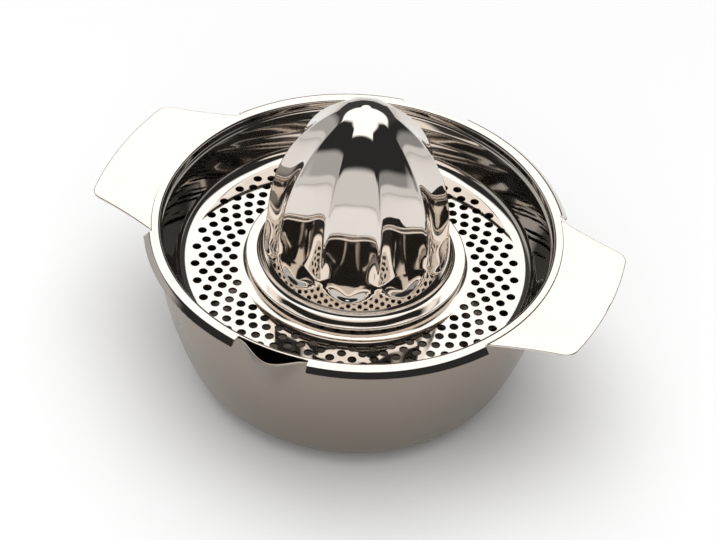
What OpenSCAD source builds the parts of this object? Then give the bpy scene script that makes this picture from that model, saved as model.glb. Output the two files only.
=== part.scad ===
// Two-part citrus juicer: a fluted reamer on a perforated strainer that hangs in a pouring bowl.
// Millimetres, +Z up. The origin is the centre of the bowl's base, the handles lie along X and the
// spout points to -Y.

/* [Bowl] */
// Outer radius of the rim
bowl_rim_r = 68.2; // [64:0.1:72]
// Height of the rim above the table
bowl_h = 58.4; // [50:0.1:66]
// Radius of the long arc that draws the side
bowl_side_r = 158; // [130:1:200]
// Height of that arc's centre above the rim
bowl_side_rise = 8.5; // [4:0.1:12]
// Radius of the lower corner
bowl_corner_r = 16; // [10:0.5:20]
// Thickness of the bowl's sheet
bowl_sheet = 0.8; // [0.6:0.05:1]

/* [Spout] */
// How far the pouring lip stands out past the rim
spout_reach = 4.4; // [3.5:0.1:5.5]
// Radius of the spout's cone at the rim
spout_r = 16; // [14:0.1:17]
// Depth of the spout's crease below the rim
spout_depth = 17; // [13:0.5:21]
// How far the pouring lip is drawn down below the rim
spout_dip = 1.2; // [0.6:0.1:2]

/* [Strainer pan] */
// Thickness of the strainer's sheet
pan_sheet = 0.8; // [0.6:0.05:1]
// How far the pan's mouth lies inside the bowl's rim
mouth_inset = 2.2; // [2:0.05:2.6]
// Width of the flat flange round the mouth
flange_w = 3; // [2.9:0.05:3.4]
// Depth of the plate below the flange
pan_depth = 18.1; // [15:0.1:22]
// Radius of the bend from flange to wall
mouth_bend_r = 1.2; // [1.1:0.05:1.5]
// Depth of the small shoulder below the flange
shoulder_drop = 2.8; // [2.6:0.1:3.6]
// Width of that shoulder
shoulder_w = 0.8; // [0.5:0.05:1.1]
// Lean of the wall from upright, in degrees
wall_lean = 20; // [16:0.5:22]
// Radius of the bend from wall to plate
pan_bend_r = 5; // [4:0.1:6]

/* [Rim skirt and notches] */
// How far the skirt flares out past the flange
skirt_w = 3.2; // [2.4:0.1:4]
// How far the skirt drops below the flange
skirt_drop = 1.3; // [0.9:0.1:1.8]
// Radius of the bend from flange to skirt
skirt_bend_r = 1.5; // [1.2:0.1:2]
// Radius of the skirt's end corners
skirt_corner_r = 1.6; // [1:0.1:2]
// Half angle of each rim notch, in degrees
notch_half = 10.4; // [9.5:0.1:12]
// Width of flange left at the notches
notch_strip = 1.6; // [1.4:0.1:2]
// Gap between a skirt end and the handle beside it, in degrees
relief = 1; // [0.6:0.1:2]

/* [Drain holes] */
// Diameter of one hole
hole_d = 3.1; // [2.4:0.1:3.4]
// Holes in each row
holes_per_row = 40; // [30:1:42]
// Distance from the collar's lower bend to the innermost row
hole_start = 3.1; // [2.6:0.1:4]
// Least distance from the outermost row to the wall's bend
hole_edge = 1.9; // [1.7:0.1:3]
// Distance between rows
hole_row_pitch = 2.58; // [2.4:0.02:2.6]

/* [Collar] */
// How far the collar's side lies inside the edge of the reamer's flange
collar_inset = 0.6; // [0.3:0.1:1]
// Height of the collar above the plate
collar_h = 4.5; // [3.4:0.1:5.4]
// Spread of the collar's side from top to foot
collar_spread = 0.3; // [0.2:0.1:0.8]
// Width of the flat land that carries the reamer
collar_land = 2.9; // [2.4:0.1:3.4]
// Radius of the collar's two bends
collar_bend_r = 1.2; // [1.1:0.05:1.5]

/* [Reamer] */
// Thickness of the reamer's sheet
reamer_sheet = 0.8; // [0.6:0.05:1]
// Radius over the ridges where the dome starts
reamer_r = 30.9; // [28:0.1:33]
// Height of the dome above its widest ring
dome_h = 54.5; // [46:0.5:60]
// How full the dome's flanks are: higher is fuller
dome_full = 2.1; // [1.6:0.05:2.4]
// How rounded the dome's top is: lower is more pointed
dome_round = 1.44; // [1.3:0.01:2]
// Height of the plain foot below the dome
foot_h = 12.8; // [11:0.1:16]
// How far the foot spreads from the dome to the flange
foot_spread = 2.3; // [1.4:0.1:3.4]
// Height over which the foot spreads before it stands upright
foot_flare_h = 6; // [4:0.1:8]
// Radius of the bend from foot to flange
foot_bend_r = 1.8; // [1.4:0.1:2.2]
// Width of the foot's flange, with its bend
foot_flange_w = 4.3; // [3.8:0.1:4.8]
// Number of flutes
flute_n = 10; // [8:1:12]
// Depth of a flute at the widest ring
flute_depth = 5.4; // [4:0.1:6.4]
// Height above the widest ring where the rounded flute end starts
flute_end_z = 4; // [2:0.5:6]
// Length of the rounded flute end
flute_end_l = 9.6; // [8:0.2:10.8]
// How square a flute's section is: lower is squarer
flute_form = 0.8; // [0.6:0.05:1]
// How fast the flutes grow shallower toward the top: higher is faster
flute_fade = 1.4; // [1:0.1:2]

/* [Handles] */
// Thickness of a handle
handle_t = 1; // [0.8:0.05:1.4]
// Step from the flange's top down to the handle's top
handle_step = 0.35; // [0.2:0.05:0.5]
// Reach of a handle from the centre
handle_reach = 89.6; // [84:0.1:98]
// Radius of the outer edge
handle_edge_r = 120; // [90:1:200]
// Half width across the corners
handle_half_w = 27.4; // [22:0.1:30]
// Radius of the corners
handle_corner_r = 5; // [3.5:0.1:6.5]
// Half width at the root
handle_root_half_w = 34; // [31:0.1:38]
// How far the sides are drawn in toward the flared root, as a share
handle_waist = 0.35; // [0.2:0.05:0.5]

/* [Hidden] */
$fn = 96;

satin = [0.62, 0.59, 0.56];
polished = [0.86, 0.84, 0.82];

// Points on one arc
arc_n = 7;
side_n = 20;
// Overlap that makes cutters pass clean through a face
cut = 1;
// How far the spout cone's lower end stays inside the wall
spout_clear = 0.05;

// Heights of the seats
flange_z = bowl_h + pan_sheet;
plate_z = flange_z - pan_depth;
collar_z = plate_z + collar_h;
foot_z = collar_z + reamer_sheet;
dome_z = foot_z + foot_h;

// Radii of the seats
pan_r = bowl_rim_r - mouth_inset;
flange_r = pan_r + flange_w;
foot_r = reamer_r + foot_spread;
foot_flange_r = foot_r + foot_flange_w;
collar_r = foot_flange_r - collar_inset;

// Points of an arc in the profile plane
function arc(c, r, a0, a1, n) =
    [for (i = [0:n]) let (a = a0 + (a1 - a0) * i / n) c + r * [cos(a), sin(a)]];

// The same points without the first one, to follow on from another arc
function arc_on(c, r, a0, a1, n) =
    [for (i = [1:n]) let (a = a0 + (a1 - a0) * i / n) c + r * [cos(a), sin(a)]];

// Direction across a path at point i, long enough to keep the sheet's thickness at a bend
function across(p, i) =
    let (last = len(p) - 1,
         d0 = p[max(i, 1)] - p[max(i, 1) - 1],
         d1 = p[min(i, last - 1) + 1] - p[min(i, last - 1)],
         n0 = [-d0.y, d0.x] / norm(d0),
         n1 = [-d1.y, d1.x] / norm(d1),
         m = n0 + n1)
    m * 2 / (m * m);

// Closed outline of a sheet of thickness t that lies below a path
function sheet(p, t) = concat(p, [for (i = [len(p) - 1:-1:0]) p[i] + t * across(p, i)]);

// Bowl

// Centre of the side arc, and of the corner arc that touches it and the base
side_c = [bowl_rim_r - sqrt(bowl_side_r * bowl_side_r - bowl_side_rise * bowl_side_rise),
          bowl_h + bowl_side_rise];
corner_x = side_c.x + sqrt(pow(bowl_side_r - bowl_corner_r, 2) - pow(side_c.y - bowl_corner_r, 2));
corner_c = [corner_x, bowl_corner_r];
corner_a = atan2(corner_c.y - side_c.y, corner_c.x - side_c.x);
rim_a = -asin(bowl_side_rise / bowl_side_r);

// Half outline of the bowl, moved in by inset
function bowl_outline(inset) =
    concat([[0, inset]],
           arc(corner_c, bowl_corner_r - inset, -90, corner_a, arc_n),
           arc_on(side_c, bowl_side_r - inset, corner_a, rim_a, side_n));

module bowl_body(inset, over) {
    p = bowl_outline(inset);
    end = p[len(p) - 1];
    rotate_extrude()
        polygon(concat(p, [[end.x, bowl_h + over], [0, bowl_h + over]]));
}

// Spout cone: its outer line runs from the pouring lip down to the wall at the crease's end
spout_y = bowl_rim_r + spout_reach - spout_r;
crease_r = bowl_rim_r - bowl_side_rise * spout_depth / bowl_side_r
           - spout_depth * spout_depth / (2 * bowl_side_r);
spout_end_r = crease_r - spout_y - spout_clear;

module spout_cone(inset, over) {
    grow = (spout_r - spout_end_r) / spout_depth;
    translate([0, -spout_y, bowl_h - spout_depth])
        cylinder(h = spout_depth + over, r1 = spout_end_r - inset, r2 = spout_r + grow * over - inset);
}

// Half width of the spout where it leaves the rim
spout_root_y = (bowl_rim_r * bowl_rim_r + spout_y * spout_y - spout_r * spout_r) / (2 * spout_y);
spout_half = sqrt(bowl_rim_r * bowl_rim_r - spout_root_y * spout_root_y);

// Shallow saddle that draws the lip down
module lip_saddle() {
    r = (spout_half * spout_half + spout_dip * spout_dip) / (2 * spout_dip);
    translate([0, -spout_y, bowl_h - spout_dip + r])
        rotate([90, 0, 0])
            cylinder(h = 2 * spout_r, r = r);
}

module bowl() {
    color(satin)
        difference() {
            union() {
                bowl_body(0, 0);
                spout_cone(0, 0);
            }
            bowl_body(bowl_sheet, cut);
            spout_cone(bowl_sheet, 2 * cut);
            lip_saddle();
        }
}

// Strainer

wall_top = [pan_r - shoulder_w, flange_z - shoulder_drop - shoulder_w];
pan_bend_z = plate_z + pan_bend_r;
pan_bend_x = wall_top.x - (wall_top.y - pan_bend_z) * tan(wall_lean) - pan_bend_r / cos(wall_lean);
collar_lean = atan2(collar_spread, collar_h);
collar_foot_x = collar_r + collar_spread;
collar_top_x = collar_r - collar_bend_r;
hole_first_r = collar_foot_x + collar_bend_r + hole_start;
hole_rows = floor((pan_bend_x - hole_edge - hole_first_r) / hole_row_pitch) + 1;

skirt_slope = atan2(skirt_drop, skirt_w);
skirt_bend_x = flange_r - skirt_bend_r * tan(skirt_slope / 2);

// Upper face of the strainer from the skirt's edge in to the collar's hole
pan_path = concat(
    [[flange_r + skirt_w, flange_z - skirt_drop]],
    arc([skirt_bend_x, flange_z - skirt_bend_r], skirt_bend_r, 90 - skirt_slope, 90, arc_n),
    arc([pan_r + mouth_bend_r, flange_z - mouth_bend_r], mouth_bend_r, 90, 180, arc_n),
    [[pan_r, flange_z - shoulder_drop], wall_top],
    arc([pan_bend_x, pan_bend_z], pan_bend_r, -wall_lean, -90, arc_n),
    arc([collar_foot_x + collar_bend_r, plate_z + collar_bend_r], collar_bend_r,
        -90, -180 + collar_lean, arc_n),
    arc([collar_top_x, collar_z - collar_bend_r], collar_bend_r, collar_lean, 90, arc_n),
    [[collar_r - collar_land, collar_z]]);

// Half angle that the skirt leaves free for a handle
skirt_from = asin(handle_root_half_w / flange_r) + relief;

// Centre radius of the skirt's rounded corners, and the angle from a corner's centre to its side
corner_at_r = flange_r + skirt_w - skirt_corner_r;
corner_turn = asin(skirt_corner_r / corner_at_r);
gap_reach = flange_r + skirt_w + cut;

// One side of a gap in the skirt, from inside the flange out round the skirt's corner
function gap_side(half) =
    let (mid = half + corner_turn)
    concat([pan_r * [cos(half), sin(half)]],
           arc(corner_at_r * [cos(mid), sin(mid)], skirt_corner_r, mid - 90, mid, arc_n),
           [gap_reach * [cos(mid), sin(mid)]]);

// Cutter for a gap in the skirt that leaves everything inside keep_r
module skirt_gap(half, keep_r) {
    side = gap_side(half);
    mid = half + corner_turn;
    mirrored = [for (i = [len(side) - 1:-1:0]) [side[i].x, -side[i].y]];
    deep = skirt_drop + pan_sheet + cut;
    translate([0, 0, flange_z - deep])
        difference() {
            linear_extrude(height = deep + cut)
                polygon(concat(side, arc_on([0, 0], gap_reach, mid, -mid, side_n), mirrored));
            translate([0, 0, -cut])
                cylinder(h = deep + 3 * cut, r = keep_r);
        }
}

module drain_holes() {
    for (row = [0:hole_rows - 1])
        for (i = [0:holes_per_row - 1])
            rotate((i + (1 - row % 2) / 2) * 360 / holes_per_row)
                translate([hole_first_r + row * hole_row_pitch, 0, plate_z - pan_sheet - cut])
                    cylinder(h = pan_sheet + 2 * cut, d = hole_d, $fn = 24);
}

module strainer() {
    color(polished)
        difference() {
            rotate_extrude()
                polygon(sheet(pan_path, pan_sheet));
            for (q = [0, 180])
                rotate(q)
                    skirt_gap(skirt_from, flange_r);
            for (q = [-90, 90])
                rotate(q)
                    skirt_gap(notch_half, pan_r + notch_strip);
            drain_holes();
        }
}

// Reamer

// Smooth step from 0 to 1
function ease(t) = t * t * (3 - 2 * t);

// Radius over the ridges at height z above the widest ring, for a skin moved in by inset
function ridge_r(z, inset) =
    let (r = reamer_r - inset, up = max(0, z) / (dome_h - inset), down = min(1, max(0, -z) / foot_flare_h))
    r * pow(max(0, 1 - pow(up, dome_full)), 1 / dome_round) + foot_spread * ease(down);

// Share of the flute's depth at u across the flute and v along its rounded end
function flute_share(u, v) = pow(max(0, 1 - u * u - v * v), flute_form);

// Radius of the skin at height z and angle a
function skin_r(z, a, inset) =
    let (pitch = 360 / flute_n,
         turn = a - pitch * round(a / pitch),
         u = abs(turn) / (pitch / 2),
         v = max(0, flute_end_z - z) / flute_end_l,
         depth = flute_depth * pow(1 - max(0, z) / dome_h, flute_fade))
    ridge_r(z, inset) - depth * flute_share(u, v);

steps = 8 * flute_n;
dome_rings = 20;
foot_rings = 9;
foot_bend_rings = 3;

// One ring of points round the skin at height z above the widest ring
function skin_ring(z, inset) =
    [for (i = [0:steps - 1])
        let (a = i * 360 / steps, r = skin_r(z, a, inset)) [r * cos(a), r * sin(a), dome_z + z]];

// One plain ring
function plain_ring(r, z) =
    [for (i = [0:steps - 1]) let (a = i * 360 / steps) [r * cos(a), r * sin(a), z]];

foot_bend_top = foot_bend_r - foot_h;
foot_bend_c = [foot_r + foot_bend_r, foot_z + foot_bend_r];

// Rings from the flange's lower edge up over the outside, then down the inside
outer_rings = concat(
    [plain_ring(foot_flange_r, collar_z), plain_ring(foot_flange_r, foot_z)],
    [for (p = arc(foot_bend_c, foot_bend_r, -90, -180, foot_bend_rings)) plain_ring(p.x, p.y)],
    [for (i = [1:foot_rings]) skin_ring(foot_bend_top * (1 - i / foot_rings), 0)],
    [for (i = [1:dome_rings - 1]) skin_ring(dome_h * sin(90 * i / dome_rings), 0)]);
inner_rings = concat(
    [for (i = [dome_rings - 1:-1:0])
        skin_ring((dome_h - reamer_sheet) * sin(90 * i / dome_rings), reamer_sheet)],
    [for (i = [1:foot_rings - 1]) skin_ring(foot_bend_top * i / foot_rings, reamer_sheet)],
    [for (p = arc(foot_bend_c, foot_bend_r + reamer_sheet, -180, -90, foot_bend_rings))
        plain_ring(p.x, p.y)]);
rings = concat(outer_rings, inner_rings);
apex = [[0, 0, dome_z + dome_h], [0, 0, dome_z + dome_h - reamer_sheet]];
top_ring = len(outer_rings) - 1;

// Two triangles between neighbouring points of ring j and ring k
function band(j, k) = [for (i = [0:steps - 1], h = [0, 1])
    let (n = (i + 1) % steps)
    h == 0 ? [j * steps + i, k * steps + i, k * steps + n]
           : [j * steps + i, k * steps + n, j * steps + n]];

// Triangles from ring j to one apex point
function cap(j, p, out) = [for (i = [0:steps - 1])
    let (n = (i + 1) % steps)
    out ? [j * steps + i, p, j * steps + n] : [j * steps + n, p, j * steps + i]];

module reamer() {
    points = concat([for (r = rings) each r], apex);
    count = len(rings) * steps;
    faces = concat(
        [for (j = [0:len(rings) - 2]) if (j != top_ring) each band(j, j + 1)],
        band(len(rings) - 1, 0),
        cap(top_ring, count, true),
        cap(top_ring + 1, count + 1, false));
    color(polished)
        polyhedron(points = points, faces = faces, convexity = 6);
}

// Handles

edge_c = [handle_reach - handle_edge_r, 0];
handle_corner_y = handle_half_w - handle_corner_r;
handle_corner_x = edge_c.x + sqrt(pow(handle_edge_r - handle_corner_r, 2) - pow(handle_corner_y, 2));
handle_corner_c = [handle_corner_x, handle_corner_y];
corner_from = atan2(handle_corner_c.y, handle_corner_c.x - edge_c.x);
// Direction in which a corner runs out into the side, in degrees
corner_to = 80;
// The handle's blank starts inside the flange, which cuts its root
blank_x = flange_r / 2;
root_a = asin(handle_root_half_w / flange_r);
root_p = flange_r * [cos(root_a), sin(root_a)];

// Side of the handle, drawn in between the corner and the flared root
function side_curve(t) =
    let (p0 = handle_corner_c + handle_corner_r * [cos(corner_to), sin(corner_to)],
         p1 = [(p0.x + root_p.x) / 2, p0.y + (root_p.y - p0.y) * handle_waist])
    (1 - t) * (1 - t) * p0 + 2 * t * (1 - t) * p1 + t * t * root_p;

handle_half = concat(
    arc(edge_c, handle_edge_r, 0, corner_from, arc_n),
    arc_on(handle_corner_c, handle_corner_r, corner_from, corner_to, arc_n),
    [for (i = [1:arc_n]) side_curve(i / arc_n)]);

module handle() {
    mirrored = [for (i = [len(handle_half) - 1:-1:1]) [handle_half[i].x, -handle_half[i].y]];
    translate([0, 0, flange_z - handle_step - handle_t])
        linear_extrude(height = handle_t)
            difference() {
                polygon(concat(handle_half, [[blank_x, root_p.y], [blank_x, -root_p.y]], mirrored));
                circle(r = flange_r);
            }
}

module handle_right() {
    color(polished) handle();
}

module handle_left() {
    color(polished) rotate(180) handle();
}

bowl();
strainer();
reamer();
handle_left();
handle_right();
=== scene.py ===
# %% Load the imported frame
import math

import bpy
from mathutils import Matrix, Vector


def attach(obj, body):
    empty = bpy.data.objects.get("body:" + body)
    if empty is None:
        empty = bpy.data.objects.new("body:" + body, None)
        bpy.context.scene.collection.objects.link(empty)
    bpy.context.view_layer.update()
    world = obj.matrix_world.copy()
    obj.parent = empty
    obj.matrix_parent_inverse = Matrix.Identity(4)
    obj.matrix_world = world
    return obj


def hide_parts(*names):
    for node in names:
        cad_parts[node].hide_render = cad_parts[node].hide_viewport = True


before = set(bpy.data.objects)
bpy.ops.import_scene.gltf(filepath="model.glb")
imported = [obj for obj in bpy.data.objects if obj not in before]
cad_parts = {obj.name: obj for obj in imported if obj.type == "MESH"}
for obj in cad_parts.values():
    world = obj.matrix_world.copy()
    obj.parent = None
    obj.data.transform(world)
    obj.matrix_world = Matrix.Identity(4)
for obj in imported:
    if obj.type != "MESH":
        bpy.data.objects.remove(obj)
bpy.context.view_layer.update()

# %% [markdown]
# ## Working by hand, in millimetres
# Every piece of this juicer is pressed or spun from thin steel sheet. On a lathe a disc is pushed over
# a form, ring by ring, and the same can be done in edit mode: a circle is the first ring, and each
# extrude and resize draws the sheet on to the next ring of the profile. Sizes are written in
# millimetres and angles in degrees, as on a drawing, and turned to metres and radians where Blender
# needs them.

# %% Sizes that the pieces share
MM = 0.001
SHEET = 0.8
BOWL_RIM_R = 68.2
BOWL_H = 58.4
FLANGE_Z = BOWL_H + SHEET
PAN_DEPTH = 18.1
PLATE_Z = FLANGE_Z - PAN_DEPTH
COLLAR_H = 4.5
COLLAR_Z = PLATE_Z + COLLAR_H
FOOT_Z = COLLAR_Z + SHEET
MOUTH_INSET = 2.2
MOUTH_R = BOWL_RIM_R - MOUTH_INSET
FLANGE_W = 3
FLANGE_R = MOUTH_R + FLANGE_W
MERGE = 0.02
print("flange at", round(FLANGE_Z, 2), "mm, plate at", round(PLATE_Z, 2), "mm")


# %% Helpers for spinning sheet
def leave_edit():
    if bpy.context.mode != "OBJECT":
        bpy.ops.object.mode_set(mode="OBJECT")
    bpy.ops.object.select_all(action="DESELECT")


def start_ring(name, r, z, count):
    """A new piece that starts as one open ring, left in edit mode with the ring selected."""
    leave_edit()
    bpy.ops.mesh.primitive_circle_add(vertices=count, radius=r * MM, location=(0, 0, z * MM))
    piece = bpy.context.object
    piece.name = name
    piece.data.name = name
    bpy.ops.object.transform_apply(location=True, rotation=True, scale=True)
    bpy.ops.object.mode_set(mode="EDIT")
    bpy.ops.mesh.select_all(action="SELECT")
    return piece


def add_ring(r, z, count):
    """One more ring in the piece that is being edited."""
    bpy.ops.mesh.select_all(action="DESELECT")
    bpy.ops.mesh.primitive_circle_add(vertices=count, radius=r * MM, location=(0, 0, z * MM))


def draw_on(profile):
    """Extrude the selected ring from point to point of a profile of (radius, height)."""
    for (r0, z0), (r1, z1) in zip(profile, profile[1:]):
        bpy.ops.mesh.extrude_region_move(TRANSFORM_OT_translate={"value": (0, 0, (z1 - z0) * MM)})
        bpy.ops.transform.resize(value=(r1 / r0, r1 / r0, 1), center_override=(0, 0, z1 * MM))


def arc(cx, cz, r, a0, a1, steps):
    """Points of an arc in the profile plane, in degrees."""
    angles = [math.radians(a0 + (a1 - a0) * i / steps) for i in range(steps + 1)]
    return [(cx + r * math.cos(a), cz + r * math.sin(a)) for a in angles]


def ease(t):
    """Smooth step from 0 to 1."""
    t = min(max(t, 0), 1)
    return t * t * (3 - 2 * t)


def around(co):
    """Angle of a point round the axis, in degrees."""
    return math.degrees(math.atan2(co.y, co.x))


def reach(co):
    """Distance of a point from the axis, in millimetres."""
    return math.hypot(co.x, co.y) / MM


# %% Helpers for finishing a piece
SHARP_EDGE = 50
SMOOTH_UP_TO = 40
LEVEL = 0.99995


def sheet_wall(piece, thickness, even=True):
    """Thickness of the sheet, added below or behind the face that was drawn."""
    wall = piece.modifiers.new("sheet", "SOLIDIFY")
    wall.thickness = thickness * MM
    wall.offset = -1
    wall.use_even_offset = even


def broken_edges(piece, width, segments):
    """A small round on every sharp edge, as a polished pressing has."""
    soft = piece.modifiers.new("broken_edges", "BEVEL")
    soft.width = width * MM
    soft.segments = segments
    soft.limit_method = "ANGLE"
    soft.angle_limit = math.radians(SHARP_EDGE)
    soft.harden_normals = True


def smoother(piece):
    """One level of subdivision, so that drawn curves run smoothly."""
    smooth = piece.modifiers.new("smooth", "SUBSURF")
    smooth.levels = 1
    smooth.render_levels = 1


def finish_mesh(piece):
    """Apply the modifiers and shade smooth, but keep level faces perfectly flat, like a mirror."""
    leave_edit()
    piece.select_set(True)
    bpy.context.view_layer.objects.active = piece
    for modifier in list(piece.modifiers):
        bpy.ops.object.modifier_apply(modifier=modifier.name)
    bpy.ops.object.shade_smooth_by_angle(angle=math.radians(SMOOTH_UP_TO))
    level = 0
    for p in piece.data.polygons:
        if abs(p.normal.z) > LEVEL:
            p.use_smooth = False
            level += 1
    size = [round(v / MM, 1) for v in piece.dimensions]
    print(f"{piece.name}: {len(piece.data.polygons)} faces, {level} level, {size} mm")


# %% [markdown]
# ## The camera
# The view comes first, because everything is compared through it. The rim, the rows of holes and the
# handles were traced in the photograph, and a camera was fitted that lays circles of the measured
# sizes on them: a long lens 0.8 m away, looking down at about 43 degrees and a little from the right,
# with a slight roll.

# %% Camera
VIEW_AZIMUTH = math.radians(20.861)
VIEW_ELEVATION = math.radians(42.565)
VIEW_ROLL = math.radians(4.190)
VIEW_DISTANCE = 800
VIEW_RIGHT = 1.156
VIEW_UP = -15.562
LENS = 119.86
SENSOR_W = 36

flat = math.cos(VIEW_ELEVATION)
back = Vector((math.sin(VIEW_AZIMUTH) * flat, -math.cos(VIEW_AZIMUTH) * flat, math.sin(VIEW_ELEVATION)))
right = Vector((math.cos(VIEW_AZIMUTH), math.sin(VIEW_AZIMUTH), 0))
up = back.cross(right)
place = (back * VIEW_DISTANCE + right * VIEW_RIGHT + up * VIEW_UP + Vector((0, 0, FLANGE_Z))) * MM
rolled_right = right * math.cos(VIEW_ROLL) + up * math.sin(VIEW_ROLL)
rolled_up = up * math.cos(VIEW_ROLL) - right * math.sin(VIEW_ROLL)

camera_data = bpy.data.cameras.new("photo_camera")
camera_data.sensor_fit = "HORIZONTAL"
camera_data.sensor_width = SENSOR_W
camera_data.lens = LENS
camera = bpy.data.objects.new("photo_camera", camera_data)
bpy.context.scene.collection.objects.link(camera)
turn = Matrix((rolled_right, rolled_up, back)).transposed().to_4x4()
camera.matrix_world = Matrix.Translation(place) @ turn
bpy.context.scene.camera = camera
print("camera at", [round(v, 3) for v in place])

# %% [markdown]
# ## The bowl
# The bowl is spun from one disc: a flat base, a round lower corner and a long, nearly straight side
# that ends in a bare rim. Rings are drawn up along that profile. The pouring spout is pressed
# out of the finished side with a pointed tool, so it is made the same way here: the points near the
# spout are pushed out, most at the rim and less and less down to the end of the crease.

# %% Bowl profile
SIDE_R = 158
SIDE_RISE = 8.5
CORNER_R = 16
BOWL_SEGMENTS = 192
RIM_STEP = 0.5
RIM_TURN = 0.03
BASE_EDGE = 1.4

side_x = BOWL_RIM_R - math.sqrt(SIDE_R ** 2 - SIDE_RISE ** 2)
side_z = BOWL_H + SIDE_RISE
corner_x = side_x + math.sqrt((SIDE_R - CORNER_R) ** 2 - (side_z - CORNER_R) ** 2)
corner_end = math.degrees(math.atan2(CORNER_R - side_z, corner_x - side_x))
rim_end = -math.degrees(math.asin(SIDE_RISE / SIDE_R))

bowl_profile = arc(corner_x, CORNER_R, CORNER_R, -90, corner_end, steps=12)
bowl_profile += arc(side_x, side_z, SIDE_R, corner_end, rim_end, steps=24)[1:]
bowl_profile.insert(-1, (BOWL_RIM_R - RIM_TURN, BOWL_H - RIM_STEP))

bowl = start_ring("bowl_shell", *bowl_profile[0], BOWL_SEGMENTS)
draw_on(bowl_profile)
add_ring(*bowl_profile[0], BOWL_SEGMENTS)
draw_on([bowl_profile[0], (corner_x - BASE_EDGE, 0)])
bpy.ops.mesh.fill_grid(span=BOWL_SEGMENTS // 4)
bpy.ops.mesh.select_all(action="SELECT")
bpy.ops.mesh.remove_doubles(threshold=MERGE * MM)
bpy.ops.mesh.normals_make_consistent(inside=False)
leave_edit()
print("bowl rings:", len(bowl_profile), "base radius:", round(corner_x, 1), "mm")

# %% Spout pressed out of the bowl's side
SPOUT_REACH = 4.4
SPOUT_HALF_W = 12.0
SPOUT_DEPTH = 17.5
SPOUT_TIP_HALF_W = 2.5
SPOUT_DIP = 1.4
LIP_H = 6
CREASE_SOFT = 0.16
CREASE_ROUND = 0.55
CREASE_FADE = 1.15


def soft_v(u):
    """A V that falls from 1 in the middle to 0 at the sides, with its point rounded."""
    low = math.sqrt(1 + CREASE_SOFT ** 2) - CREASE_SOFT
    return 1 - (math.sqrt(u * u + CREASE_SOFT ** 2) - CREASE_SOFT) / low


def spout_push(x, depth):
    """Share of the reach at x across the spout and depth below the rim."""
    down = min(max(depth / SPOUT_DEPTH, 0), 1)
    half = SPOUT_HALF_W + (SPOUT_TIP_HALF_W - SPOUT_HALF_W) * down
    u = abs(x) / half
    if u >= 1 or down >= 1:
        return 0.0
    ridge = soft_v(u)
    section = CREASE_ROUND * ease(ridge) + (1 - CREASE_ROUND) * ridge
    return section * (1 - down) ** CREASE_FADE


pushed = 0
for v in bowl.data.vertices:
    x, y, z = (c / MM for c in v.co)
    share = spout_push(x, BOWL_H - z) if y < 0 else 0.0
    if share > 0:
        near_rim = max(0.0, 1 - (BOWL_H - z) / LIP_H)
        v.co.y -= SPOUT_REACH * share * MM
        v.co.z -= SPOUT_DIP * share * near_rim * MM
        pushed += 1
print("points pushed out for the spout:", pushed)

# %% Bowl sheet
sheet_wall(bowl, SHEET)
smoother(bowl)
finish_mesh(bowl)

# %% [markdown]
# ## The strainer
# The strainer is one pressing too: a flat flange, a shallow pan with a drilled plate, and a
# collar in the middle that carries the reamer. Only its upper face is drawn; the sheet gets its
# thickness at the end. The drilled plate is one narrow tile with six holes, copied round the axis, so
# every hole is alike and the plate stays perfectly flat, which matters for a mirror finish.

# %% Strainer profile sizes
MOUTH_BEND_R = 1.2
SHOULDER_DROP = 2.8
SHOULDER_W = 0.8
WALL_LEAN = 20
PAN_BEND_R = 5
COLLAR_R = 37.0
COLLAR_LAND = 3.0
COLLAR_BEND_R = 0.6
COLLAR_RAMP_R = 5.0
COLLAR_RAMP = 30
SEGMENTS = 160

wall_top = (MOUTH_R - SHOULDER_W, FLANGE_Z - SHOULDER_DROP - SHOULDER_W)
pan_bend_z = PLATE_Z + PAN_BEND_R
lean = math.radians(WALL_LEAN)
pan_bend_x = wall_top[0] - (wall_top[1] - pan_bend_z) * math.tan(lean) - PAN_BEND_R / math.cos(lean)
collar_foot_x = COLLAR_R + COLLAR_RAMP_R * math.sin(math.radians(COLLAR_RAMP))
print("plate from", round(collar_foot_x, 2), "to", round(pan_bend_x, 2), "mm")

# %% Drilled plate tile
TILE_N = 40
TILE_STEPS = SEGMENTS // TILE_N
TILE_ANGLE = 360 / TILE_N
TILE_FROM = -TILE_ANGLE / 4
HOLE_R = 1.55
HOLE_SIDES = 20
HOLE_FIRST_R = 41.5
HOLE_PITCH = 2.58
HOLE_ROWS = 6
TILE_INNER_GAP = 0.1
TILE_OUTER_GAP = 0.25
ANY_R = 10
plate_r0 = collar_foot_x + TILE_INNER_GAP
plate_r1 = pan_bend_x - TILE_OUTER_GAP


def polar(r, degrees, z):
    a = math.radians(degrees)
    return Vector((r * math.cos(a), r * math.sin(a), z)) * MM


tile_angles = [TILE_FROM + TILE_ANGLE * i / TILE_STEPS for i in range(TILE_STEPS + 1)]
border = [polar(plate_r1, a, PLATE_Z) for a in tile_angles]
border += [polar(plate_r0, a, PLATE_Z) for a in reversed(tile_angles)]
strainer = start_ring("strainer_pan", ANY_R, PLATE_Z, len(border))
leave_edit()
for v, co in zip(strainer.data.vertices, border):
    v.co = co
strainer.select_set(True)
bpy.ops.object.mode_set(mode="EDIT")
for row in range(HOLE_ROWS):
    spot = polar(HOLE_FIRST_R + row * HOLE_PITCH, TILE_ANGLE / 2 if row % 2 == 0 else 0, PLATE_Z)
    bpy.ops.mesh.primitive_circle_add(vertices=HOLE_SIDES, radius=HOLE_R * MM, location=spot)
bpy.ops.mesh.select_all(action="SELECT")
bpy.ops.mesh.fill(use_beauty=True)
bpy.ops.mesh.select_all(action="SELECT")
bpy.ops.mesh.spin(steps=TILE_N - 1, dupli=True, angle=math.tau * (TILE_N - 1) / TILE_N,
                  center=(0, 0, 0), axis=(0, 0, 1))
print("holes in the plate:", HOLE_ROWS * TILE_N)

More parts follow.
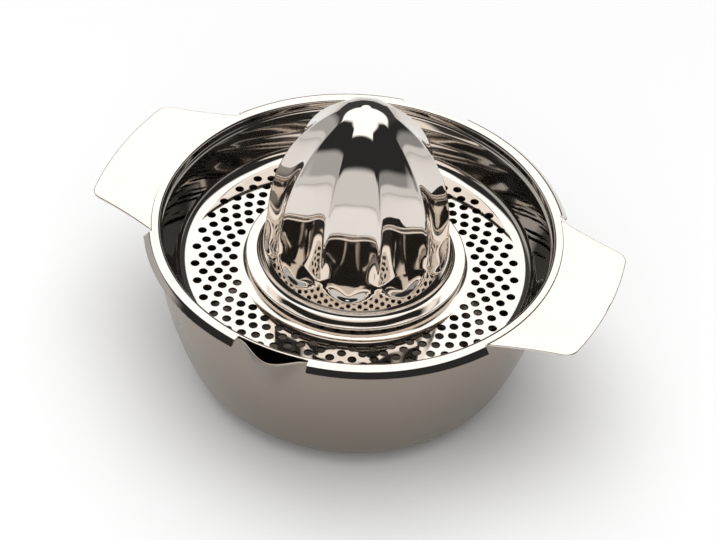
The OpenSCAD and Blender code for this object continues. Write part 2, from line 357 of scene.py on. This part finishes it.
# %% Pan wall, flange and collar
WALL_STEPS = (0.35, 0.7, 0.97)
SHOULDER_FOOT = (0.12, 0.22)
SHOULDER_SOFT = 0.25
SHOULDER_TURN = 0.07
SHOULDER_RISE = 0.4
NOTCH_STRIP = 1.6
NOTCH_R = MOUTH_R + NOTCH_STRIP
LAND_STEP = 0.6
FACES_UP = 0.9

pan_wall = [(plate_r1, PLATE_Z)]
pan_wall += arc(pan_bend_x, pan_bend_z, PAN_BEND_R, -90, -WALL_LEAN, steps=10)
foot_of_wall = pan_wall[-1]
for t in WALL_STEPS:
    pan_wall.append(tuple(a + (b - a) * t for a, b in zip(foot_of_wall, wall_top)))
shoulder = (MOUTH_R, FLANGE_Z - SHOULDER_DROP)
pan_wall += [(wall_top[0] + SHOULDER_FOOT[0], wall_top[1] + SHOULDER_FOOT[1])]
pan_wall += [(shoulder[0] - SHOULDER_SOFT, shoulder[1] - SHOULDER_SOFT)]
pan_wall += [(shoulder[0] - SHOULDER_TURN, shoulder[1]), (shoulder[0], shoulder[1] + SHOULDER_RISE)]
pan_wall += arc(MOUTH_R + MOUTH_BEND_R, FLANGE_Z - MOUTH_BEND_R, MOUTH_BEND_R, 180, 90, steps=8)
pan_wall += [(NOTCH_R, FLANGE_Z), (BOWL_RIM_R, FLANGE_Z), (FLANGE_R, FLANGE_Z)]
add_ring(*pan_wall[0], SEGMENTS)
draw_on(pan_wall)

collar = [(plate_r0, PLATE_Z)]
collar += arc(collar_foot_x, PLATE_Z + COLLAR_RAMP_R, COLLAR_RAMP_R, -90, -90 - COLLAR_RAMP, steps=8)
collar += arc(COLLAR_R - COLLAR_BEND_R, COLLAR_Z - COLLAR_BEND_R, COLLAR_BEND_R, 0, 90, steps=6)
collar += [(COLLAR_R - COLLAR_LAND + LAND_STEP, COLLAR_Z), (COLLAR_R - COLLAR_LAND, COLLAR_Z)]
add_ring(*collar[0], SEGMENTS)
draw_on(collar)
bpy.ops.mesh.select_all(action="SELECT")
bpy.ops.mesh.remove_doubles(threshold=MERGE * MM)
bpy.ops.mesh.normals_make_consistent(inside=False)
leave_edit()
up_faces = sum(1 for p in strainer.data.polygons if p.normal.z > FACES_UP)
down_faces = sum(1 for p in strainer.data.polygons if p.normal.z < -FACES_UP)
if down_faces > up_faces:
    strainer.select_set(True)
    bpy.ops.object.mode_set(mode="EDIT")
    bpy.ops.mesh.select_all(action="SELECT")
    bpy.ops.mesh.flip_normals()
    leave_edit()
print("level faces up and down before any flip:", up_faces, down_faces)

# %% [markdown]
# ## The rim skirt and its notches
# Between the handles and the spout the flange turns down into a short skirt, which keeps the strainer
# on the bowl. It stops short at front and back, where a notch leaves the spout free. The flange
# is cut along the notch sides with the bisect tool, the faces in the notches are deleted, and the edges
# that are left are drawn out and down.

# %% Skirt
NOTCH_HALF = 10.4
HANDLE_ROOT_HALF_W = 34
RELIEF = 1
SKIRT_CORNER = 1.2
SKIRT_STEPS = 4
SKIRT_BEND_X = 69.4
SKIRT_BEND_R = 1.2
SKIRT_SLOPE = 43
SKIRT_R = 71.8
PICK_MARGIN = 0.2
CLOSE = 0.05
root_a = math.degrees(math.asin(HANDLE_ROOT_HALF_W / FLANGE_R))
skirt_from = root_a + RELIEF


def pick_faces(piece, wanted):
    """Select the faces whose centre passes the test; called in object mode."""
    for item in (piece.data.vertices, piece.data.edges, piece.data.polygons):
        item.foreach_set("select", [False] * len(item))
    for p in piece.data.polygons:
        p.select = wanted(p.center)


def off_axis(a):
    """Angle from the nearer end of the X axis, from 0 to 90 degrees."""
    return min(abs(a), 180 - abs(a))


strainer.select_set(True)
bpy.context.view_layer.objects.active = strainer
for cut in (90 - NOTCH_HALF, 90 + NOTCH_HALF, skirt_from, 180 - skirt_from):
    pick_faces(strainer, lambda c: reach(c) > NOTCH_R - PICK_MARGIN)
    bpy.ops.object.mode_set(mode="EDIT")
    side = math.radians(cut)
    bpy.ops.mesh.bisect(plane_co=(0, 0, 0), plane_no=(-math.sin(side), math.cos(side), 0))
    bpy.ops.object.mode_set(mode="OBJECT")

pick_faces(strainer, lambda c: reach(c) > NOTCH_R + MERGE and off_axis(around(c)) > 90 - NOTCH_HALF)
bpy.ops.object.mode_set(mode="EDIT")
bpy.ops.mesh.delete(type="FACE")
bpy.ops.mesh.select_all(action="DESELECT")
bpy.ops.object.mode_set(mode="OBJECT")

skirt_edges = 0
for e in strainer.data.edges:
    a, b = (strainer.data.vertices[i].co for i in e.vertices)
    on_rim = all(abs(reach(c) - FLANGE_R) < MERGE for c in (a, b))
    e.select = on_rim and skirt_from < off_axis(around((a + b) / 2)) < 90 - NOTCH_HALF
    skirt_edges += e.select
bpy.ops.object.mode_set(mode="EDIT")
bpy.ops.mesh.select_mode(type="EDGE")
bend = arc(SKIRT_BEND_X, FLANGE_Z - SKIRT_BEND_R, SKIRT_BEND_R, 90, 90 - SKIRT_SLOPE, steps=5)
fall = (SKIRT_R - bend[-1][0]) * math.tan(math.radians(SKIRT_SLOPE))
skirt_end = (SKIRT_R, bend[-1][1] - fall)
run = [tuple(a + (b - a) * i / SKIRT_STEPS for a, b in zip(bend[-1], skirt_end))
       for i in range(1, SKIRT_STEPS + 1)]
draw_on([(FLANGE_R, FLANGE_Z)] + bend + run)
bpy.ops.mesh.select_mode(type="VERT")
bpy.ops.object.mode_set(mode="OBJECT")
for v in strainer.data.vertices:
    ends = min(abs(off_axis(around(v.co)) - a) for a in (skirt_from, 90 - NOTCH_HALF))
    v.select = reach(v.co) > skirt_end[0] - CLOSE and ends < CLOSE
print("skirt edges drawn out:", skirt_edges, "corners:", sum(v.select for v in strainer.data.vertices))
bpy.ops.object.mode_set(mode="EDIT")
bpy.ops.mesh.bevel(offset=SKIRT_CORNER * MM, affect="VERTICES", segments=5)
leave_edit()

# %% Strainer sheet
sheet_wall(strainer, SHEET)
finish_mesh(strainer)

# %% [markdown]
# ## The reamer
# The reamer is a drawn dome with ten hollow flutes that meet in sharp ridges, and an upright foot that
# turns out to a narrow flange on the collar. The flank alone would end in a point, so a round cap is set
# on it where the slopes agree. The plain dome is spun first, out to the ridges. Then each point is
# pressed in by the depth of the flute at that place, as the press tool does: deepest in the middle of a
# flute, nothing on a ridge or on the cap, and ending in a thin round lip above the foot.

# %% Reamer dome
FLUTES = 10
STEPS_PER_FLUTE = 16
REAMER_SEGMENTS = FLUTES * STEPS_PER_FLUTE
DOME_R = 30.9
DOME_H = 51.2
DOME_FULL = 2.25
DOME_ROUND = 1.44
FOOT_H = 12.8
FOOT_SLOPE = 0.13
FOOT_EASE = 2
FOOT_BEND_R = 2.2
EDGE_R = 36.9
EDGE_ROLL = 0.6
EDGE_FROM = 30
DOME_Z = FOOT_Z + FOOT_H
DOME_RINGS = 27
FOOT_RINGS = 22
CAP_FROM = 0.9
TINY = 0.01


def flank_r(z):
    """Radius of the dome's flank, which alone would end in a point."""
    return DOME_R * max(0.0, 1 - (z / DOME_H) ** DOME_FULL) ** (1 / DOME_ROUND)


cap_z = CAP_FROM * DOME_H
cap_slope = math.atan2(2 * TINY, flank_r(cap_z - TINY) - flank_r(cap_z + TINY))
cap_r = flank_r(cap_z) / math.sin(cap_slope)
cap_mid = cap_z - cap_r * math.cos(cap_slope)
top_z = cap_mid + cap_r
print("round cap of radius", round(cap_r, 1), "mm, top at", round(top_z, 1), "mm")


def ridge_r(z):
    """Radius over the ridges at height z above the dome's widest ring."""
    if z >= cap_z:
        return math.sqrt(max(0.0, cap_r ** 2 - (z - cap_mid) ** 2))
    if z >= 0:
        return flank_r(z)
    return DOME_R + FOOT_SLOPE * (math.hypot(z, FOOT_EASE) - FOOT_EASE)


foot_lean = math.atan(FOOT_SLOPE)
bend_top = FOOT_BEND_R * (1 - math.sin(foot_lean)) - FOOT_H
bend_x = ridge_r(bend_top) + FOOT_BEND_R * math.cos(foot_lean)
dome = arc(EDGE_R, FOOT_Z - EDGE_ROLL, EDGE_ROLL, EDGE_FROM, 90, steps=5)
dome += arc(bend_x, FOOT_Z + FOOT_BEND_R, FOOT_BEND_R, -90, math.degrees(foot_lean) - 180, steps=8)
foot_heights = [bend_top * (1 - i / FOOT_RINGS) for i in range(1, FOOT_RINGS + 1)]
dome_heights = [top_z * math.sin(math.radians(90 * i / DOME_RINGS)) for i in range(1, DOME_RINGS)]
dome += [(ridge_r(z), DOME_Z + z) for z in foot_heights + dome_heights]

reamer = start_ring("reamer_dome", *dome[0], REAMER_SEGMENTS)
draw_on(dome)
bpy.ops.mesh.fill_grid(span=REAMER_SEGMENTS // 4)
bpy.ops.mesh.select_all(action="SELECT")
bpy.ops.mesh.normals_make_consistent(inside=False)
leave_edit()
print("reamer rings:", len(dome))

# %% Flutes pressed into the dome
FLUTE_DEPTH = 4.2
FLUTE_END_DEPTH = 1.1
FLUTE_TOP_Z = 48.5
FLUTE_DEEP_Z = 11.0
FLUTE_ROUND_Z = 3.0
FLUTE_END_Z = -6.7
FLUTE_FADE = 1.5
FLUTE_LIP = 0.05


def flute_depth(z):
    """Depth along the middle of a flute: it fades to the top and, in part, to the lower end."""
    if z > FLUTE_DEEP_Z:
        fade = min(1, (z - FLUTE_DEEP_Z) / (FLUTE_TOP_Z - FLUTE_DEEP_Z))
        return FLUTE_DEPTH * (1 - fade ** FLUTE_FADE)
    fade = (FLUTE_DEEP_Z - z) / (FLUTE_DEEP_Z - FLUTE_END_Z)
    return FLUTE_DEPTH - (FLUTE_DEPTH - FLUTE_END_DEPTH) * fade ** FLUTE_FADE


def flute_press(u, z):
    """Depth at u across the flute, 0 in its middle and 1 on a ridge, and at height z."""
    v = max(0, FLUTE_ROUND_Z - z) / (FLUTE_ROUND_Z - FLUTE_END_Z)
    wide = math.sqrt(max(0.0, 1 - v * v))
    if u >= wide:
        return 0.0
    return flute_depth(z) * wide ** FLUTE_LIP * (1 - (u / wide) ** 2)


pitch = 360 / FLUTES
deepest = 0
for v in reamer.data.vertices:
    r = reach(v.co)
    z = v.co.z / MM - DOME_Z
    if r < TINY or z < bend_top:
        continue
    a = around(v.co)
    u = abs(a - pitch * round(a / pitch)) / (pitch / 2)
    press = flute_press(u, z)
    deepest = max(deepest, press)
    v.co.x *= (r - press) / r
    v.co.y *= (r - press) / r
print("deepest flute:", round(deepest, 2), "mm")

# %% Reamer sheet
sheet_wall(reamer, SHEET, even=False)
smoother(reamer)
finish_mesh(reamer)

# %% [markdown]
# ## The handles
# Each handle is a flat plate with rounded corners, drawn in a little towards the rim and flared where
# it meets the flange. A disc of points is laid on the outline, drawn down to the plate's thickness and
# its edges are broken, so that the rim of the plate catches a thin line of light.

# %% Handle outline
HANDLE_T = 1.0
HANDLE_STEP = 0.35
HANDLE_TOP = FLANGE_Z - HANDLE_STEP
HANDLE_ROUND = 0.46
HANDLE_ROUND_STEPS = 5
WAIST_STEPS = 12
HANDLE_REACH = 89.6
HANDLE_EDGE_R = 120
HANDLE_HALF_W = 27.4
HANDLE_CORNER_R = 5
HANDLE_WAIST = 0.35
CORNER_TO = 80

edge_x = HANDLE_REACH - HANDLE_EDGE_R
corner_y = HANDLE_HALF_W - HANDLE_CORNER_R
handle_corner_x = edge_x + math.sqrt((HANDLE_EDGE_R - HANDLE_CORNER_R) ** 2 - corner_y ** 2)
corner_from = math.degrees(math.atan2(corner_y, handle_corner_x - edge_x))
root = (FLANGE_R * math.cos(math.radians(root_a)), HANDLE_ROOT_HALF_W)

half = arc(edge_x, 0, HANDLE_EDGE_R, 0, corner_from, steps=8)
half += arc(handle_corner_x, corner_y, HANDLE_CORNER_R, corner_from, CORNER_TO, steps=8)[1:]
p0 = half[-1]
p1 = ((p0[0] + root[0]) / 2, p0[1] + (root[1] - p0[1]) * HANDLE_WAIST)
for i in range(1, WAIST_STEPS + 1):
    t = i / WAIST_STEPS
    half.append(tuple((1 - t) ** 2 * p0[k] + 2 * t * (1 - t) * p1[k] + t * t * root[k] for k in (0, 1)))
half += arc(0, 0, FLANGE_R, root_a, 0, steps=14)[1:]
outline = half + [(x, -y) for x, y in reversed(half[1:-1])]
print("outline points:", len(outline))


# %% Two handles
def make_handle(name, mirror):
    """One handle: mirror is 1 for the right side and -1 for the left."""
    plate = start_ring(name, ANY_R, HANDLE_TOP, len(outline))
    leave_edit()
    for v, (x, y) in zip(plate.data.vertices, outline):
        v.co = Vector((x * mirror, y * mirror, HANDLE_TOP)) * MM
    plate.select_set(True)
    bpy.ops.object.mode_set(mode="EDIT")
    bpy.ops.mesh.select_all(action="SELECT")
    bpy.ops.mesh.edge_face_add()
    bpy.ops.mesh.extrude_region_move(TRANSFORM_OT_translate={"value": (0, 0, -HANDLE_T * MM)})
    bpy.ops.mesh.select_all(action="SELECT")
    bpy.ops.mesh.normals_make_consistent(inside=False)
    leave_edit()
    broken_edges(plate, HANDLE_ROUND, HANDLE_ROUND_STEPS)
    finish_mesh(plate)
    return plate


handle_right = make_handle("handle_plate_right", 1)
handle_left = make_handle("handle_plate_left", -1)

# %% [markdown]
# ## Steel finishes
# Two finishes show in the photograph. The strainer, reamer and handles are polished almost to a
# mirror; the outside of the bowl is satin, with faint lines that run round it from the spinning lathe.
# Both carry wiped smears and hair scratches, so these marks are one node group, used with its own
# values in each finish.


# %% Marks shared by both finishes
def node(tree, kind, **inputs):
    """A new node with some of its inputs set."""
    made = tree.nodes.new(kind)
    for key, value in inputs.items():
        made.inputs[key].default_value = value
    return made


marks = bpy.data.node_groups.new("steel_marks", "ShaderNodeTree")
for label, usual in (("Smear Scale", 40.0), ("Line Scale", 900.0), ("Line Share", 0.5)):
    socket = marks.interface.new_socket(label, in_out="INPUT", socket_type="NodeSocketFloat")
    socket.default_value = usual
for label in ("Smear", "Lines", "Scratch"):
    marks.interface.new_socket(label, in_out="OUTPUT", socket_type="NodeSocketFloat")
given = marks.nodes.new("NodeGroupInput")
result = marks.nodes.new("NodeGroupOutput")
coords = marks.nodes.new("ShaderNodeTexCoord")
smear = node(marks, "ShaderNodeTexNoise", Detail=4.0, Roughness=0.6)
marks.links.new(coords.outputs["Object"], smear.inputs["Vector"])
marks.links.new(given.outputs["Smear Scale"], smear.inputs["Scale"])
marks.links.new(smear.outputs["Fac"], result.inputs["Smear"])
split = marks.nodes.new("ShaderNodeSeparateXYZ")
marks.links.new(coords.outputs["Object"], split.inputs[0])
lines = marks.nodes.new("ShaderNodeTexNoise")
lines.noise_dimensions = "1D"
lines.inputs["Detail"].default_value = 3.0
marks.links.new(split.outputs["Z"], lines.inputs["W"])
marks.links.new(given.outputs["Line Scale"], lines.inputs["Scale"])
share = marks.nodes.new("ShaderNodeMath")
share.operation = "MULTIPLY"
marks.links.new(lines.outputs["Fac"], share.inputs[0])
marks.links.new(given.outputs["Line Share"], share.inputs[1])
marks.links.new(share.outputs[0], result.inputs["Lines"])
stretch = marks.nodes.new("ShaderNodeMapping")
stretch.inputs["Scale"].default_value = (1.0, 9.0, 3.0)
stretch.inputs["Rotation"].default_value = (0.3, 0.2, 0.7)
marks.links.new(coords.outputs["Object"], stretch.inputs["Vector"])
scratch = node(marks, "ShaderNodeTexNoise", Scale=420.0, Detail=2.0, Roughness=0.5)
marks.links.new(stretch.outputs["Vector"], scratch.inputs["Vector"])
marks.links.new(scratch.outputs["Fac"], result.inputs["Scratch"])
print("group outputs:", [s.name for s in marks.interface.items_tree if s.in_out == "OUTPUT"])


# %% Polished steel and satin steel
BUMP_DEPTH = 0.00005
SMEAR_RANGE = (0.3, 0.7)
SCRATCH_SHARE = 0.3
DULLED = (0.96, 0.955, 0.95)


def steel(name, tone, rough, smear_scale, line_scale, line_share, bump):
    """A steel finish: its tone, and the least and greatest roughness of its wiped smears."""
    finish = bpy.data.materials.new(name)
    finish.use_nodes = True
    tree = finish.node_tree
    shader = tree.nodes["Principled BSDF"]
    shader.inputs["Metallic"].default_value = 1.0
    worn = tree.nodes.new("ShaderNodeGroup")
    worn.node_tree = marks
    worn.inputs["Smear Scale"].default_value = smear_scale
    worn.inputs["Line Scale"].default_value = line_scale
    worn.inputs["Line Share"].default_value = line_share
    shade = tree.nodes.new("ShaderNodeValToRGB")
    dull, full = shade.color_ramp.elements
    dull.position, full.position = SMEAR_RANGE
    dull.color = (*(t * d for t, d in zip(tone, DULLED)), 1)
    full.color = (*tone, 1)
    tree.links.new(worn.outputs["Smear"], shade.inputs["Fac"])
    tree.links.new(shade.outputs["Color"], shader.inputs["Base Color"])
    gloss = node(tree, "ShaderNodeMapRange")
    gloss.inputs["From Min"].default_value = SMEAR_RANGE[0]
    gloss.inputs["From Max"].default_value = SMEAR_RANGE[1]
    gloss.inputs["To Min"].default_value = rough[0]
    gloss.inputs["To Max"].default_value = rough[1]
    tree.links.new(worn.outputs["Smear"], gloss.inputs["Value"])
    tree.links.new(gloss.outputs["Result"], shader.inputs["Roughness"])
    both = tree.nodes.new("ShaderNodeMath")
    both.operation = "MULTIPLY_ADD"
    both.inputs[1].default_value = SCRATCH_SHARE
    tree.links.new(worn.outputs["Scratch"], both.inputs[0])
    tree.links.new(worn.outputs["Lines"], both.inputs[2])
    relief = tree.nodes.new("ShaderNodeBump")
    relief.inputs["Strength"].default_value = bump
    relief.inputs["Distance"].default_value = BUMP_DEPTH
    tree.links.new(both.outputs[0], relief.inputs["Height"])
    tree.links.new(relief.outputs["Normal"], shader.inputs["Normal"])
    return finish


polished = steel("mirror_polish", tone=(0.72, 0.667, 0.614), rough=(0.03, 0.06),
                 smear_scale=45.0, line_scale=300.0, line_share=0.0, bump=0.015)
satin = steel("spun_satin", tone=(0.285, 0.247, 0.208), rough=(0.2, 0.28),
              smear_scale=30.0, line_scale=1000.0, line_share=1.0, bump=0.12)
print("finishes:", polished.name, satin.name)

# %% Finish and ride every piece
for piece, cad_node, body, finish, slot in (
        (bowl, "bowl", "bowl", satin, "satin_steel"),
        (strainer, "strainer", "insert", polished, "polished_steel"),
        (reamer, "reamer", "insert", polished, "polished_steel"),
        (handle_right, "handle_right", "insert", polished, "polished_steel"),
        (handle_left, "handle_left", "insert", polished, "polished_steel")):
    piece.data.materials.clear()
    piece.data.materials.append(finish)
    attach(piece, body)
    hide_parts(cad_node)
    print(piece.name, "rides on", body)

# %% [markdown]
# ## Floor and studio
# Polished steel shows the room and little else, so the room is the real subject here. Its reflections
# ask for a large bright ceiling that runs down on the far side, with a dark gap on the camera's side.
# The floor is plain white and every ray sees it alike, so the steel mirrors the same floor that the
# camera sees. The room is a world of bands of height: one set for the camera's side, one each for
# left and right, and one for the far side, blended where they meet.

# %% Floor
FLOOR_SIZE = 8
FLOOR_Z = -0.0004
leave_edit()
bpy.ops.mesh.primitive_plane_add(size=FLOOR_SIZE, location=(0, 0, FLOOR_Z))
floor = bpy.context.object
floor.name = "floor"
floor_finish = bpy.data.materials.new("white_floor")
floor_finish.use_nodes = True
matt = floor_finish.node_tree.nodes["Principled BSDF"]
matt.inputs["Base Color"].default_value = (0.94, 0.94, 0.94, 1)
matt.inputs["Roughness"].default_value = 0.9
matt.inputs["Specular IOR Level"].default_value = 0.0
floor.data.materials.append(floor_finish)
print("floor:", [round(v, 2) for v in floor.dimensions])

# %% World
BRIGHT = 1.61
world = bpy.data.worlds.new("studio")
bpy.context.scene.world = world
world.use_nodes = True
tree = world.node_tree
tree.nodes.clear()
way = tree.nodes.new("ShaderNodeTexCoord")
split = tree.nodes.new("ShaderNodeSeparateXYZ")
tree.links.new(way.outputs["Generated"], split.inputs[0])


def bands(stops):
    """Light by the height of a direction, with stops of (elevation in degrees, share of BRIGHT)."""
    ramp = tree.nodes.new("ShaderNodeValToRGB")
    ramp.color_ramp.interpolation = "EASE"
    points = ramp.color_ramp.elements
    while len(points) < len(stops):
        points.new(0.5)
    for point, (elevation, grey) in zip(points, stops):
        point.position = math.sin(math.radians(elevation))
        point.color = (grey, grey, grey, 1)
    tree.links.new(split.outputs["Z"], ramp.inputs["Fac"])
    return ramp


near_side = bands([(0, 0.52), (24, 0.52), (31, 0.02), (60, 0.02), (66, 1.0)])
left_side = bands([(0, 0.52), (3, 0.52), (6, 0.32), (22, 0.32), (28, 0.02), (60, 0.02), (66, 1.0)])
right_side = bands([(0, 0.52), (3, 0.52), (6, 0.22), (12, 0.22), (18, 0.02), (60, 0.02), (66, 1.0)])
far_side = bands([(0, 0.52), (3, 0.52), (6, 0.04), (33, 0.04), (37, 1.0)])


# The two colour inputs and the colour result among a mix node's sockets.
MIX_FIRST, MIX_SECOND, MIX_RESULT = 6, 7, 2


def wall(first, second, axis, start, end):
    """Pass from the first bands to the second along an axis, from start to end."""
    along = tree.nodes.new("ShaderNodeVectorMath")
    along.operation = "DOT_PRODUCT"
    along.inputs[1].default_value = axis
    tree.links.new(way.outputs["Generated"], along.inputs[0])
    share = tree.nodes.new("ShaderNodeMapRange")
    share.inputs["From Min"].default_value = start
    share.inputs["From Max"].default_value = end
    tree.links.new(along.outputs["Value"], share.inputs["Value"])
    mixed = tree.nodes.new("ShaderNodeMix")
    mixed.data_type = "RGBA"
    tree.links.new(share.outputs["Result"], mixed.inputs["Factor"])
    tree.links.new(first, mixed.inputs[MIX_FIRST])
    tree.links.new(second, mixed.inputs[MIX_SECOND])
    return mixed.outputs[MIX_RESULT]


FAR_AHEAD = 0.82
FAR_UP = 0.57
right_axis = (math.cos(VIEW_AZIMUTH), math.sin(VIEW_AZIMUTH), 0)
left_axis = tuple(-v for v in right_axis)
far_axis = (-FAR_AHEAD * math.sin(VIEW_AZIMUTH), FAR_AHEAD * math.cos(VIEW_AZIMUTH), FAR_UP)
sides = wall(near_side.outputs["Color"], left_side.outputs["Color"], left_axis, start=0.62, end=0.74)
sides = wall(sides, right_side.outputs["Color"], right_axis, start=0.5, end=0.62)
room = wall(sides, far_side.outputs["Color"], far_axis, start=0.62, end=0.74)
room_light = node(tree, "ShaderNodeBackground", Strength=BRIGHT)
tree.links.new(room, room_light.inputs["Color"])
out = tree.nodes.new("ShaderNodeOutputWorld")
tree.links.new(room_light.outputs[0], out.inputs["Surface"])
room_sides = (near_side, left_side, right_side, far_side)
print("stops in the room's bands:", [len(side.color_ramp.elements) for side in room_sides])


# %% Lamps
def softbox(name, spot, size, watts):
    """A round soft lamp that points at the middle of the base."""
    lamp = bpy.data.lights.new(name, "AREA")
    lamp.shape = "DISK"
    lamp.size = size
    lamp.energy = watts
    box = bpy.data.objects.new(name, lamp)
    box.location = spot
    box.rotation_euler = (-Vector(spot)).to_track_quat("-Z", "Y").to_euler()
    bpy.context.scene.collection.objects.link(box)
    return box


top_box = softbox("top_box", spot=(0.1, -0.5, 1.3), size=2.6, watts=16)
top_box.visible_glossy = False
bpy.context.scene.view_settings.view_transform = "Standard"
print("lamps:", top_box.name)
